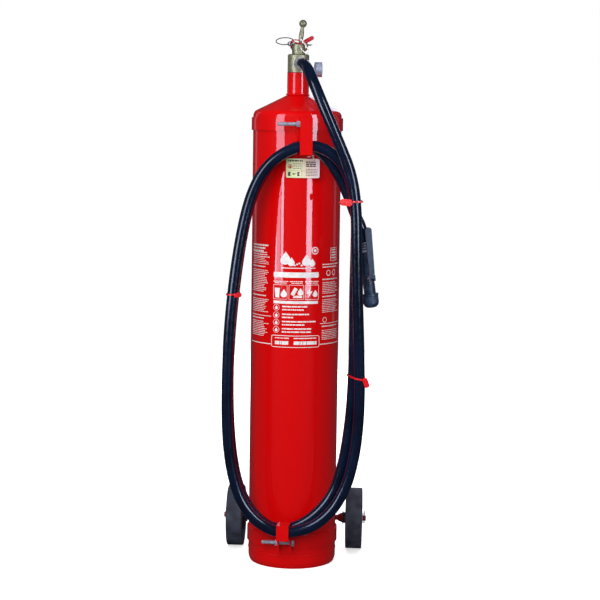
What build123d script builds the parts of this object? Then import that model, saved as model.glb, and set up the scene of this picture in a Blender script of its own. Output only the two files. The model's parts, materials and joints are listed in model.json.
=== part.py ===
from build123d import *
import math
import os

# Wheeled dry-powder fire extinguisher, in millimetres.
# +Z is up, -Y is the front that carries the hose, and the origin is on the cylinder's axis at the floor.

# ---------------------------------------------------------------- driving dimensions
SHELL_R = 101.5
SHELL_WALL = 3.0
SKIRT_H = 30.0
SHOULDER_Z = 1034.0
CONE_EDGE_R, CONE_EDGE_Z = 94.0, 1046.5
NECK_R, NECK_BORE_R = 25.0, 19.0
NECK_Z0, CONE_TOP_Z, NECK_TOP_Z = 1070.0, 1081.0, 1132.0
VALVE_R = 24.5
VALVE_Z0, VALVE_Z1 = 1133.2, 1174.0
OUTLET_Z, OUTLET_ANGLE = 1152.0, 10.0
GAUGE_Z, GAUGE_ANGLE = 1140.0, 100.0
SEAT_Z, SEAT_TOP_Z = 1143.0, 1145.5
CAVITY_R = 11.0
BONNET_R, BONNET_TOP_Z = 15.0, 1199.0
BONNET_THREAD_Z = 1163.0
PIVOT_X, PIVOT_Z = 2.0, 1188.0
PIVOT_PIN_R = 2.5
BALL_CENTRE = (9.3, 0.0, 1243.2)
BALL_R = 8.8
SPINDLE_R = 3.5
SLOT_X0, SLOT_X1, SLOT_FRONT_Y, SLOT_FLOOR_Z = -3.5, 8.5, -6.0, 1177.5
CAM_R, CAM_OFFSET, LEVER_SWING = 7.5, 3.0, 85.0
SAFETY_Y, SAFETY_Z, SAFETY_R = -9.0, 1194.8, 1.6
EYE_CENTRE, EYE_R, EYE_WIRE = (-19.1, -9.0, 1197.0), 4.7, 1.2
PULL_RING_R, PULL_RING_WIRE, PULL_RING_TILT, RING_ENTRY = 20.0, 1.1, 25.0, -50.0
RUNNING = 0.05

HOSE_D = 25.0
FERRULE_END = 65.95
STRAND_BACK, STRAND_FRONT = -118.0, -144.0

BAND_T = 3.5
UPPER_BAND_Z0, UPPER_BAND_Z1 = 1001.0, 1030.0
LOWER_BAND_Z0, LOWER_BAND_Z1 = 49.0, 80.0
UPPER_HOOK_ANGLE, LOWER_HOOK_ANGLE = 10.4, -4.2
HOOK_W, HOOK_T = 28.0, 3.0
BOLT_R, BOLT_AF, BOLT_HEAD_H, NUT_H = 4.0, 13.0, 5.3, 6.5

WHEEL_R, WHEEL_Z, AXLE_R = 72.5, 73.5, 6.35
WHEEL_X0, WHEEL_X1 = 123.0, 161.0
AXLE_END_X = 171.0
AXLE_Y = SHELL_R + BAND_T + AXLE_R + RUNNING

GUN_TOP = (159.0, -118.0, 757.0)
GUN_DIR = (4.0, 0.0, -29.0)
GUN_LEVER_SIDE = (0.45, -0.89, 0.0)
GUN_R = 13.2
TRIGGER_OPEN = 4.5

# The hose's route from the valve's ferrule to the discharge gun. It goes down the right side, round the
# lower hook, up the left, over the upper hook, round once more, and down to the gun.
HOSE_ROUTE = [
    (11.46, -65.0, 1152.0),
    (16.76, -95.04, 1152.0),
    (27.0, -133.0, 1143.0),
    (40.0, -162.0, 1118.0),
    (57.0, -176.0, 1080.0),
    (80.0, -180.0, 1028.0),
    (105.0, -179.0, 972.0),
    (129.0, -176.0, 915.0),
    (142.0, -173.0, 848.0),
    (145.0, -169.0, 745.0),
    (148.0, -163.0, 640.0),
    (153.0, -157.0, 530.0),
    (157.0, -151.0, 415.0),
    (154.0, -148.0, 335.0),
    (146.0, -146.0, 270.0),
    (130.0, -145.0, 205.0),
    (100.0, STRAND_FRONT, 150.0),
    (58.0, STRAND_FRONT, 112.0),
    (12.0, STRAND_FRONT, 97.0),
    (-34.0, STRAND_FRONT, 98.0),
    (-76.0, STRAND_FRONT, 123.0),
    (-108.0, STRAND_FRONT, 166.0),
    (-127.0, STRAND_FRONT, 223.0),
    (-138.0, STRAND_FRONT, 291.0),
    (-142.0, STRAND_FRONT, 372.0),
    (-141.5, STRAND_FRONT, 468.0),
    (-138.0, STRAND_FRONT, 560.0),
    (-130.5, STRAND_FRONT, 645.0),
    (-120.0, STRAND_FRONT, 730.0),
    (-106.0, STRAND_FRONT, 808.0),
    (-90.0, STRAND_FRONT, 866.0),
    (-66.0, STRAND_FRONT, 914.0),
    (-28.0, STRAND_FRONT, 951.0),
    (22.0, STRAND_FRONT, 972.0),
    (70.0, STRAND_FRONT, 966.0),
    (112.0, STRAND_FRONT, 931.0),
    (134.0, STRAND_FRONT, 877.0),
    (143.0, STRAND_FRONT, 812.0),
    (142.5, -142.5, 735.0),
    (141.0, -138.0, 645.0),
    (142.0, -133.0, 555.0),
    (141.5, -129.0, 470.0),
    (139.0, -125.0, 395.0),
    (132.0, -122.0, 320.0),
    (121.0, -120.0, 250.0),
    (102.0, -119.0, 186.0),
    (68.0, STRAND_BACK, 140.0),
    (30.0, STRAND_BACK, 110.0),
    (-8.0, STRAND_BACK, 96.5),
    (-50.0, STRAND_BACK, 103.0),
    (-90.0, STRAND_BACK, 140.0),
    (-116.0, STRAND_BACK, 191.0),
    (-131.0, STRAND_BACK, 256.0),
    (-139.0, STRAND_BACK, 332.0),
    (-142.0, STRAND_BACK, 420.0),
    (-140.5, STRAND_BACK, 515.0),
    (-134.0, STRAND_BACK, 605.0),
    (-124.5, STRAND_BACK, 692.0),
    (-113.0, STRAND_BACK, 772.0),
    (-98.0, STRAND_BACK, 841.0),
    (-76.0, STRAND_BACK, 895.0),
    (-42.0, STRAND_BACK, 940.0),
    (8.0, STRAND_BACK, 970.5),
    (56.0, STRAND_BACK, 965.0),
    (97.0, STRAND_BACK, 913.0),
    (123.0, STRAND_BACK, 861.0),
    (139.0, STRAND_BACK, 817.0),
    (155.0, STRAND_BACK, 786.0),
    GUN_TOP,
]

# The thread's route: from the seal, down to the right, round, and back up to the bonnet.
THREAD_D = 2.4
THREAD_ROUTE = [
    (6.5, -21.6, 1206.0),
    (13.5, -22.0, 1199.0),
    (19.5, -22.0, 1190.5),
    (24.5, -22.5, 1180.5),
    (20.5, -23.5, 1174.0),
    (13.5, -22.0, 1179.0),
    (7.0, -17.0, 1185.5),
]


# ---------------------------------------------------------------- helpers
def radial(angle, z=0.0):
    """A frame on the cylinder's axis: local X points outward at this angle from the front, local Z is up."""
    a = math.radians(angle)
    return Plane(origin=(0, 0, z), x_dir=(math.sin(a), -math.cos(a), 0), z_dir=(0, 0, 1)).location


def block(x0, x1, y0, y1, z0, z1):
    """A box from its six limits."""
    return Pos((x0 + x1) / 2, (y0 + y1) / 2, (z0 + z1) / 2) * Box(x1 - x0, y1 - y0, z1 - z0)


def turned(points, axis=Axis.Z):
    """A solid of revolution from (radius, height) points, joined by straight lines."""
    outline = Polyline([(r, 0, z) for r, z in points], close=True)
    return revolve(make_face(outline), axis)


def tube(r_out, r_in, z0, z1):
    return turned([(r_in, z0), (r_out, z0), (r_out, z1), (r_in, z1)])


def rod_x(r, x0, x1, y=0.0, z=0.0):
    """A cylinder along X."""
    return Pos((x0 + x1) / 2, y, z) * Rot(0, 90, 0) * Cylinder(r, x1 - x0)


def rod_y(r, y0, y1, x=0.0, z=0.0):
    """A cylinder along Y."""
    return Pos(x, (y0 + y1) / 2, z) * Rot(90, 0, 0) * Cylinder(r, y1 - y0)


def hex_x(across, x0, x1, y=0.0, z=0.0):
    """A hexagonal prism along X."""
    face = RegularPolygon(across / 2, 6, major_radius=False)
    return Pos(x0, y, z) * Rot(0, 90, 0) * extrude(face, x1 - x0)


def hex_y(across, y0, y1, x=0.0, z=0.0):
    """A hexagonal prism along Y."""
    face = RegularPolygon(across / 2, 6, major_radius=False)
    return Pos(x, y1, z) * Rot(90, 0, 0) * extrude(face, y1 - y0)


# ---------------------------------------------------------------- pressure shell
def shell_tube():
    return tube(SHELL_R, SHELL_R - SHELL_WALL, SKIRT_H, SHOULDER_Z)


def base_skirt():
    """The foot ring, rolled inward at its lower edge."""
    roll_h, roll_in = 14.0, 4.5
    with BuildPart() as skirt:
        with BuildSketch(Plane.XZ):
            with BuildLine():
                inner = SHELL_R - SHELL_WALL
                Polyline((SHELL_R, roll_h), (SHELL_R, SKIRT_H), (inner, SKIRT_H), (inner, roll_h))
                ThreePointArc((inner, roll_h), (inner - 1.2, roll_h / 2), (inner - roll_in, 0))
                Line((inner - roll_in, 0), (SHELL_R - roll_in, 0))
                ThreePointArc((SHELL_R - roll_in, 0), (SHELL_R - 1.2, roll_h / 2), (SHELL_R, roll_h))
            make_face()
        revolve(axis=Axis.Z)
    return skirt.part


def bottom_dish():
    """A domed end, welded inside the tube, with a short upright flange."""
    edge_z, flange_h, depth = 57.0, 10.0, 45.0
    r_out = SHELL_R - SHELL_WALL
    r_in = r_out - SHELL_WALL
    with BuildPart() as dish:
        with BuildSketch(Plane.XZ):
            with BuildLine():
                EllipticalCenterArc((0, edge_z), r_out, depth, start_angle=270, arc_size=90)
                Polyline((r_out, edge_z), (r_out, edge_z + flange_h), (r_in, edge_z + flange_h), (r_in, edge_z))
                EllipticalCenterArc((0, edge_z), r_in, depth - SHELL_WALL, start_angle=270, arc_size=90)
                Line((0, edge_z - depth + SHELL_WALL), (0, edge_z - depth))
            make_face()
        revolve(axis=Axis.Z)
    return dish.part


def top_cone():
    """The rounded shoulder and the cone up to the neck."""
    wall = SHELL_WALL
    with BuildPart() as cone:
        with BuildSketch(Plane.XZ):
            with BuildLine():
                Polyline((SHELL_R - wall, SHOULDER_Z), (SHELL_R, SHOULDER_Z))
                ThreePointArc((SHELL_R, SHOULDER_Z), (99.2, 1041.6), (CONE_EDGE_R, CONE_EDGE_Z))
                Polyline((CONE_EDGE_R, CONE_EDGE_Z), (NECK_R, CONE_TOP_Z), (NECK_R, CONE_TOP_Z - 3.4))
                Line((NECK_R, CONE_TOP_Z - 3.4), (92.5, 1043.5))
                Line((92.5, 1043.5), (SHELL_R - wall, SHOULDER_Z))
            make_face()
        revolve(axis=Axis.Z)
    return cone.part


def neck_boss():
    """The threaded neck with its weld bead against the cone."""
    bead_top = (NECK_R, CONE_TOP_Z + 4)
    return turned(
        [
            (NECK_BORE_R, NECK_Z0),
            (NECK_R, NECK_Z0),
            (NECK_R, CONE_TOP_Z),
            (27.8, CONE_TOP_Z + 0.2),
            (27.0, CONE_TOP_Z + 2.6),
            bead_top,
            (NECK_R, NECK_TOP_Z),
            (NECK_BORE_R, NECK_TOP_Z),
        ]
    )


def powder_charge():
    """The settled powder, as one sealed column round the siphon tube."""
    return tube(95.0, CAVITY_R + 0.5, 57.3, 708.0)


def siphon_tube():
    return tube(CAVITY_R, 8.0, 35.0, 1120.0)


# ---------------------------------------------------------------- valve
def neck_seal():
    return tube(VALVE_R + 0.2, NECK_BORE_R, NECK_TOP_Z, VALVE_Z0)


def valve_body():
    chamfer_size = 2.5
    outside = turned(
        [
            (0, 1100),
            (NECK_BORE_R, 1100),
            (NECK_BORE_R, VALVE_Z0),
            (VALVE_R, VALVE_Z0),
            (VALVE_R, VALVE_Z1 - chamfer_size),
            (VALVE_R - chamfer_size, VALVE_Z1),
            (0, VALVE_Z1),
        ]
    )
    inside = turned(
        [
            (0, 1099),
            (CAVITY_R, 1099),
            (CAVITY_R, SEAT_Z),
            (7, SEAT_Z),
            (7, SEAT_TOP_Z),
            (10, SEAT_TOP_Z),
            (10, BONNET_THREAD_Z),
            (CAVITY_R, BONNET_THREAD_Z),
            (CAVITY_R, VALVE_Z1 + 1),
            (0, VALVE_Z1 + 1),
        ]
    )
    outlet = radial(OUTLET_ANGLE) * (rod_x(6.4, 5, 20, z=OUTLET_Z) + rod_x(9, 15, 30, z=OUTLET_Z))
    gauge_port = radial(GAUGE_ANGLE) * (rod_x(1.5, 5, 20, z=GAUGE_Z) + rod_x(5, 15, 30, z=GAUGE_Z))
    return outside - inside - outlet - gauge_port


def valve_bonnet():
    """The bonnet screwed into the body, slotted at the top for the lever: open at the back, closed in front."""
    outside = turned(
        [
            (SPINDLE_R + RUNNING, BONNET_THREAD_Z),
            (CAVITY_R, BONNET_THREAD_Z),
            (CAVITY_R, VALVE_Z1),
            (BONNET_R, VALVE_Z1),
            (BONNET_R, BONNET_TOP_Z - 3),
            (BONNET_R - 3, BONNET_TOP_Z),
            (SPINDLE_R + RUNNING, BONNET_TOP_Z),
        ]
    )
    slot = block(SLOT_X0, SLOT_X1, SLOT_FRONT_Y, 20, SLOT_FLOOR_Z, BONNET_TOP_Z + 1)
    pivot_hole = rod_x(PIVOT_PIN_R, -20, 20, z=PIVOT_Z)
    safety_hole = rod_x(SAFETY_R + RUNNING, -20, 20, SAFETY_Y, SAFETY_Z)
    return outside - slot - pivot_hole - safety_hole


def lever_pivot_pin():
    return rod_x(PIVOT_PIN_R, -14.6, 14.6, z=PIVOT_Z)


def lever():
    """A turned lever with a ball end. Its foot is an eccentric disc that pushes the spindle down."""
    half_swing = math.radians(LEVER_SWING / 2)
    cam_y = CAM_OFFSET * math.cos(half_swing)
    cam_z = PIVOT_Z + CAM_OFFSET * math.sin(half_swing)
    cam = rod_x(CAM_R, SLOT_X0 + 0.4, SLOT_X1 - 0.4, cam_y, cam_z)
    along = Vector(*BALL_CENTRE) - Vector(PIVOT_X, 0, PIVOT_Z)
    length = along.length
    with BuildPart() as stem:
        with BuildSketch(Plane.XZ):
            with BuildLine():
                Line((0, 0), (3.8, 0))
                Line((3.8, 0), (3.8, 10))
                Spline((3.8, 10), (4.6, 18), (5.6, 31), (4.1, 46), tangents=((0, 1), (0, 1)))
                Line((4.1, 46), (4.1, length))
                Line((4.1, length), (0, length))
                Line((0, length), (0, 0))
            make_face()
        revolve(axis=Axis.Z)
    frame = Plane(origin=(PIVOT_X, 0, PIVOT_Z), z_dir=along, x_dir=(0, -1, 0))
    upright = frame.location * stem.part
    return cam + upright + Pos(*BALL_CENTRE) * Sphere(BALL_R) - rod_x(PIVOT_PIN_R + RUNNING, -20, 20, z=PIVOT_Z)


def valve_spindle():
    """A poppet disc on a stem that stands up to the lever's foot."""
    top_z = PIVOT_Z + CAM_OFFSET * math.sin(math.radians(LEVER_SWING / 2)) - CAM_R - 0.3
    return turned([(0, 1137), (10, 1137), (10, 1140.3), (SPINDLE_R, 1140.3), (SPINDLE_R, top_z), (0, top_z)])


def spindle_seal():
    return tube(9.5, SPINDLE_R, 1140.3, SEAT_Z - 0.2)


def spindle_spring():
    wire, mean_r, turns = 0.8, 9.0, 4
    height = 17.0 - 2 * wire - 0.2
    path = Helix(pitch=height / turns, height=height, radius=mean_r)
    section = Plane(origin=path @ 0, z_dir=path % 0) * Circle(wire)
    return Pos(0, 0, 1120 + wire + 0.1) * sweep(section, path=path, is_frenet=True)


def safety_pin():
    """A split pin through the fork: an eye on the left, two prongs of unequal length on the right."""
    shank_end_x, short_x, long_x = 24.0, 29.0, 32.0
    split = 0.15
    shank = rod_x(SAFETY_R, EYE_CENTRE[0] + EYE_R, shank_end_x, SAFETY_Y, SAFETY_Z)
    upper = rod_x(SAFETY_R, shank_end_x, long_x, SAFETY_Y, SAFETY_Z)
    upper -= block(shank_end_x - 1, long_x + 1, -20, 20, SAFETY_Z - 5, SAFETY_Z + split)
    lower = rod_x(SAFETY_R, shank_end_x, short_x, SAFETY_Y, SAFETY_Z)
    lower -= block(shank_end_x - 1, long_x + 1, -20, 20, SAFETY_Z - split, SAFETY_Z + 5)
    eye = Pos(*EYE_CENTRE) * Rot(90 + PULL_RING_TILT, 0, 0) * Rot(0, 0, 170) * Torus(EYE_R, EYE_WIRE)
    return shank + upper + lower + eye


def pull_ring():
    """The ring runs through the middle of the pin's eye, so its centre follows from where it meets the eye."""
    tilt = math.radians(PULL_RING_TILT)
    at = math.radians(RING_ENTRY)
    outward = Vector(math.cos(at), math.sin(at) * math.cos(tilt), math.sin(at) * math.sin(tilt))
    centre = Vector(*EYE_CENTRE) - outward * PULL_RING_R
    print("pull ring centre", centre)
    return Pos(*centre) * Rot(PULL_RING_TILT, 0, 0) * Torus(PULL_RING_R, PULL_RING_WIRE)


def seal_strap():
    """The tamper seal's strap round the fork: high in front of the lever, and low behind it."""
    loop = Spline(
        (9.3, -17.3, 1203.6),
        (1.5, -18.8, 1205.0),
        (-13.5, -13.5, 1205.1),
        (-18.2, -1, 1199.3),
        (-13.5, 12.5, 1186),
        (1.5, 18.0, 1180.5),
        (16.5, 12.5, 1186),
        (21.2, 0, 1195),
        (19.8, -9.5, 1200.5),
        (17.0, -14.0, 1202.5),
    )
    return sweep(Plane(origin=loop @ 0, z_dir=loop % 0) * Circle(0.9), path=loop)


def seal_tag():
    """The oblong head of the tamper seal."""
    face = RectangleRounded(27, 10, 4.8)
    frame = Plane(origin=(23.5, -15.5, 1206.2), x_dir=(0.875, 0, 0.485), z_dir=(0, -1, 0))
    return frame.location * extrude(face, 3)


def free_route(name, points, diameter):
    """A cord's tube: straight runs joined by arcs, each as large as its two runs allow."""
    points = [Vector(*p) for p in points]
    radii = []
    for before, here, after in zip(points, points[1:], points[2:]):
        turn = (here - before).get_angle(after - here)
        shorter = min((here - before).length, (after - here).length)
        radii.append(0.45 * shorter / math.tan(math.radians(turn / 2)))
    path = FilletPolyline(*points, radius=radii)
    solid = sweep(Plane(origin=path @ 0, z_dir=path % 0) * Circle(diameter / 2), path=path)
    share = solid.volume / (path.length * math.pi * diameter**2 / 4)
    print(f"{name}: corner radii", " ".join(f"{r:.0f}" for r in radii))
    print(f"{name}: length {path.length:.1f} mm, volume over section times length {share:.5f}")
    return solid


def seal_thread():
    """A soft cord tied to the seal: it hangs in one loop in front of the bonnet."""
    return free_route("seal_thread", THREAD_ROUTE, THREAD_D)


# ---------------------------------------------------------------- pressure gauge
def gauge_stem():
    shape = rod_x(5, 15, 38, z=GAUGE_Z) + hex_x(14, 26, 32, z=GAUGE_Z) - rod_x(1.5, 14, 39, z=GAUGE_Z)
    return radial(GAUGE_ANGLE) * shape


def gauge_case():
    return radial(GAUGE_ANGLE) * (rod_x(17, 38, 52, z=GAUGE_Z) - rod_x(15.2, 41, 53, z=GAUGE_Z))


def gauge_dial():
    return radial(GAUGE_ANGLE) * (rod_x(15.2, 43, 43.8, z=GAUGE_Z) + rod_x(0.6, 43.8, 46.6, z=GAUGE_Z))


def gauge_needle():
    hub = rod_x(1.7, 44.4, 46.0, z=GAUGE_Z)
    pointer = block(44.8, 45.4, -0.5, 0.5, GAUGE_Z - 4, GAUGE_Z + 11.5)
    return radial(GAUGE_ANGLE) * (hub + pointer - rod_x(0.6 + RUNNING, 40, 50, z=GAUGE_Z))


def gauge_lens():
    return radial(GAUGE_ANGLE) * rod_x(15.2, 50.4, 52, z=GAUGE_Z)


def gauge_bezel():
    return radial(GAUGE_ANGLE) * (rod_x(17.4, 52, 53.6, z=GAUGE_Z) - rod_x(14.4, 51, 54, z=GAUGE_Z))


# ---------------------------------------------------------------- hose
def outlet_nipple():
    shape = rod_x(9, 15, 24.5, z=OUTLET_Z) + hex_x(24, 24.5, 34, z=OUTLET_Z) + rod_x(10.5, 34, 38, z=OUTLET_Z)
    return radial(OUTLET_ANGLE) * (shape - rod_x(6.4, 14, 39, z=OUTLET_Z))


def ferrule_valve():
    collar = rod_x(14.2, 38, FERRULE_END, z=OUTLET_Z)
    for groove_x in (46.0, 53.0, 60.0):
        collar -= rod_x(16, groove_x, groove_x + 1.6, z=OUTLET_Z) - rod_x(13.4, groove_x, groove_x + 1.6, z=OUTLET_Z)
    return radial(OUTLET_ANGLE) * collar


def hose():
    return free_route("hose", HOSE_ROUTE, HOSE_D)


# ---------------------------------------------------------------- discharge gun
def gun_frame():
    """Local Z runs down the gun from the hose's end, and local X points at the squeeze lever."""
    down = Vector(*GUN_DIR).normalized()
    side = Vector(*GUN_LEVER_SIDE)
    side = (side - down * side.dot(down)).normalized()
    return Plane(origin=GUN_TOP, x_dir=side, z_dir=down).location


GUN_BODY_S0, GUN_BODY_S1 = 22.0, 117.0
TRIGGER_X, TRIGGER_S = 17.8, 81.0
PLUNGER_S = 60.0
NOZZLE_S1 = 148.0


def ferrule_gun():
    return gun_frame() * tube(13.6, 7.0, 0, GUN_BODY_S0)


def gun_body():
    barrel = tube(GUN_R, 6.0, GUN_BODY_S0, GUN_BODY_S1)
    ears = block(8, 22, -8.2, -5.2, 74, 88) + block(8, 22, 5.2, 8.2, 74, 88)
    pocket = block(11.8, 30, -5.2, 5.2, 70, 90)
    pin_hole = rod_y(2.0, -20, 20, TRIGGER_X, TRIGGER_S)
    plunger_hole = rod_x(3.0 + RUNNING, 0, 20, z=PLUNGER_S)
    return gun_frame() * (barrel + ears - tube(6.0, 0.0, 20, 120) - pocket - pin_hole - plunger_hole)


def trigger_pin():
    return gun_frame() * rod_y(2.0, -9.0, 9.0, TRIGGER_X, TRIGGER_S)


def gun_trigger():
    """The squeeze lever: a long plate, wider at its free end, with a tongue between the body's ears."""
    free_s, root_s = -115.0, -9.0
    free_half, root_half = 8.0, 6.6
    with BuildPart() as plate:
        with BuildSketch(Plane.YZ):
            with BuildLine():
                Line((-root_half, root_s), (-free_half, free_s + 6))
                ThreePointArc((-free_half, free_s + 6), (0, free_s), (free_half, free_s + 6))
                Line((free_half, free_s + 6), (root_half, root_s))
                Line((root_half, root_s), (-root_half, root_s))
            make_face()
        extrude(amount=4.5)
    tongue = rod_y(4.0, -4.8, 4.8) + block(0.9, 4.0, -4.8, 4.8, root_s - 1, 0)
    shape = Pos(0.9, 0, 0) * plate.part + tongue - rod_y(2.0 + RUNNING, -20, 20)
    return gun_frame() * Pos(TRIGGER_X, 0, TRIGGER_S) * Rot(0, -TRIGGER_OPEN, 0) * shape


def gun_plunger():
    reach = (TRIGGER_S - PLUNGER_S) * math.tan(math.radians(TRIGGER_OPEN))
    return gun_frame() * rod_x(3.0, 7.0, TRIGGER_X + 0.9 + reach - 0.4, z=PLUNGER_S)


def gun_nozzle():
    body = turned(
        [
            (5.0, GUN_BODY_S1),
            (18.7, GUN_BODY_S1),
            (18.7, 121),
            (17.6, 122),
            (17.6, 138),
            (15.5, 143.5),
            (11.0, 147),
            (7.0, NOZZLE_S1),
            (5.0, NOZZLE_S1),
        ]
    )
    return gun_frame() * body


# ---------------------------------------------------------------- clamp bands and hooks
def clamp_band(angle, z0, z1, ear_inside, bolt_r, bolt_z):
    """A strap round the shell whose two ends turn out as ears, for one bolt."""
    r_out = SHELL_R + BAND_T
    ear_end = bolt_r + 12
    strap = tube(r_out, SHELL_R, z0, z1) - radial(angle) * block(80, 130, -ear_inside, ear_inside, z0 - 1, z1 + 1)
    ears = block(SHELL_R + 1, ear_end, ear_inside, ear_inside + BAND_T, z0, z1)
    ears += block(SHELL_R + 1, ear_end, -ear_inside - BAND_T, -ear_inside, z0, z1)
    ears -= rod_y(BOLT_R + 0.2, -40, 40, bolt_r, bolt_z)
    return strap + radial(angle) * ears


UPPER_EAR, UPPER_BOLT_R, UPPER_BOLT_Z, UPPER_BOLT_TIP = 6.0, 120.0, 1017.0, -59.0
LOWER_EAR, LOWER_BOLT_R, LOWER_BOLT_Z, LOWER_BOLT_TIP = 12.5, 118.0, 66.0, -53.0


def upper_band():
    return clamp_band(UPPER_HOOK_ANGLE, UPPER_BAND_Z0, UPPER_BAND_Z1, UPPER_EAR, UPPER_BOLT_R, UPPER_BOLT_Z)


def lower_band():
    return clamp_band(LOWER_HOOK_ANGLE, LOWER_BAND_Z0, LOWER_BAND_Z1, LOWER_EAR, LOWER_BOLT_R, LOWER_BOLT_Z)


def bolt(angle, ear_inside, bolt_r, bolt_z, tip):
    head_y = ear_inside + BAND_T
    shape = rod_y(BOLT_R, tip, head_y, bolt_r, bolt_z)
    shape += hex_y(BOLT_AF, head_y, head_y + BOLT_HEAD_H, bolt_r, bolt_z)
    return radial(angle) * shape


def nut(angle, ear_inside, bolt_r, bolt_z):
    face_y = -ear_inside - BAND_T
    shape = hex_y(BOLT_AF, face_y - NUT_H, face_y, bolt_r, bolt_z)
    return radial(angle) * (shape - rod_y(BOLT_R, face_y - 20, face_y + 20, bolt_r, bolt_z))


def clamp_nuts():
    """The two identical nuts, one on each band's bolt."""
    upper = nut(UPPER_HOOK_ANGLE, UPPER_EAR, UPPER_BOLT_R, UPPER_BOLT_Z)
    return upper + nut(LOWER_HOOK_ANGLE, LOWER_EAR, LOWER_BOLT_R, LOWER_BOLT_Z)


def upper_hook():
    """A J-shaped strip: down the shell behind the hose, forward under it, and up in front."""
    half = HOOK_W / 2
    back_r, front_r, floor_z = 102.0, 162.5, 949.5
    back = block(back_r, back_r + 2.5, -half, half, floor_z, UPPER_BAND_Z0)
    floor = block(back_r, front_r + HOOK_T, -half, half, floor_z, floor_z + HOOK_T)
    front = block(front_r, front_r + HOOK_T, -half, half, floor_z, 1032)
    return radial(UPPER_HOOK_ANGLE) * (back + floor + front)


def lower_hook():
    """A strip forward from the lower band, up in front of the hose and back over it."""
    half = HOOK_W / 2
    front_r, top_z = 159.2, 115.5
    root = block(SHELL_R + 0.2, front_r + HOOK_T, -half, half, LOWER_BAND_Z1, LOWER_BAND_Z1 + 2.5)
    front = block(front_r, front_r + HOOK_T, -half, half, LOWER_BAND_Z1, top_z)
    lip = block(125, front_r + HOOK_T, -half, half, top_z - HOOK_T, top_z)
    return radial(LOWER_HOOK_ANGLE) * (root + front + lip)


def rear_handle():
    """A round bar bent into a U and welded to the back of the upper band."""
    half, reach, z = 50.0, 165.0, 1016.0
    path = FilletPolyline((-half, 85, z), (-half, reach, z + 10), (half, reach, z + 10), (half, 85, z), radius=26)
    section = Plane(origin=path @ 0, z_dir=path % 0) * Circle(8)
    return sweep(section, path=path) - Pos(0, 0, z) * Cylinder(SHELL_R + BAND_T, 100)


# ---------------------------------------------------------------- wheels
def axle():
    cotter_x = WHEEL_X1 + 5.5
    rod = rod_x(AXLE_R, -AXLE_END_X, AXLE_END_X, AXLE_Y, WHEEL_Z)
    for x in (-cotter_x, cotter_x):
        rod -= Pos(x, AXLE_Y, WHEEL_Z) * Cylinder(1.6, 40)
    return rod


def axle_brackets():
    """Two blocks that join the axle to the back of the lower band."""
    pair = block(-58, -38, 84, 122, 60, 87) + block(38, 58, 84, 122, 60, 87)
    pair -= Pos(0, 0, 73) * Cylinder(SHELL_R + BAND_T, 60)
    return pair - rod_x(AXLE_R, -80, 80, AXLE_Y, WHEEL_Z)


def on_axle(side, shape):
    """Places a shape made round the X axis with positive x outward."""
    turn = Rot(0, 0, 0) if side > 0 else Rot(0, 0, 180)
    return Pos(0, AXLE_Y, WHEEL_Z) * turn * shape


def about_x(points):
    """A solid of revolution about X from (x, radius) points."""
    return revolve(make_face(Polyline([(x, 0, r) for x, r in points], close=True)), Axis.X)


def tyre(side):
    """A solid tyre with square shoulders and four shallow grooves round its tread."""
    r, c = WHEEL_R, 2.0
    groove_w, groove_depth = 1.2, 0.7
    ring = about_x(
        [
            (WHEEL_X0, 46),
            (WHEEL_X0, r - c),
            (WHEEL_X0 + 0.6, r - 0.6),
            (WHEEL_X0 + c, r),
            (WHEEL_X1 - c, r),
            (WHEEL_X1 - 0.6, r - 0.6),
            (WHEEL_X1, r - c),
            (WHEEL_X1, 46),
        ]
    )
    for k in range(1, 5):
        x = WHEEL_X0 + k * (WHEEL_X1 - WHEEL_X0) / 5
        ring -= about_x(
            [
                (x - groove_w / 2, r + 1),
                (x - groove_w / 2, r - groove_depth),
                (x + groove_w / 2, r - groove_depth),
                (x + groove_w / 2, r + 1),
            ]
        )
    return on_axle(side, ring)


def rim(side):
    """A dished disc wheel: outer band, web with five holes, and hub tube."""
    x0, x1 = WHEEL_X0 + 2, WHEEL_X1 - 2
    mid = (x0 + x1) / 2
    band = about_x([(x0, 42), (x1, 42), (x1, 46), (x0, 46)])
    web = about_x([(mid - 3, 13), (mid + 3, 13), (mid + 3, 42), (mid - 3, 42)])
    for k in range(5):
        a = math.radians(72 * k)
        web -= rod_x(7, mid - 10, mid + 10, 28 * math.cos(a), 28 * math.sin(a))
    hub = about_x([(WHEEL_X0 - 6, 9), (WHEEL_X1, 9), (WHEEL_X1, 13), (WHEEL_X0 - 6, 13)])
    return on_axle(side, band + web + hub)


def bush(side):
    r_in = AXLE_R + RUNNING
    return on_axle(side, about_x([(WHEEL_X0 - 6, r_in), (WHEEL_X1, r_in), (WHEEL_X1, 9), (WHEEL_X0 - 6, 9)]))


def axle_collars():
    """A cone-shaped spacer fixed on the axle, inboard of each wheel."""
    pair = [on_axle(s, about_x([(104, AXLE_R), (114.6, AXLE_R), (114.6, 12), (104, 8)])) for s in (-1, 1)]
    return pair[0] + pair[1]


def inner_washers():
    pair = [on_axle(s, about_x([(114.6, AXLE_R), (116.7, AXLE_R), (116.7, 15.5), (114.6, 15.5)])) for s in (-1, 1)]
    return pair[0] + pair[1]


def outer_washers():
    x0 = WHEEL_X1 + 0.3
    pair = [on_axle(s, about_x([(x0, AXLE_R), (x0 + 2, AXLE_R), (x0 + 2, 12), (x0, 12)])) for s in (-1, 1)]
    return pair[0] + pair[1]


def cotter_pins():
    cotter_x = WHEEL_X1 + 5.5
    pins = []
    for x in (-cotter_x, cotter_x):
        shank = Pos(x, AXLE_Y, WHEEL_Z) * Cylinder(1.6, 24)
        pins.append(shank + Pos(x, AXLE_Y, WHEEL_Z + 14) * Rot(0, 90, 0) * Torus(2.6, 1.3))
    return pins[0] + pins[1]


# ---------------------------------------------------------------- card and ties
CARD_X, CARD_Y, CARD_Z0, CARD_Z1 = 19.5, -104.2, 897.0, 940.0


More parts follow.
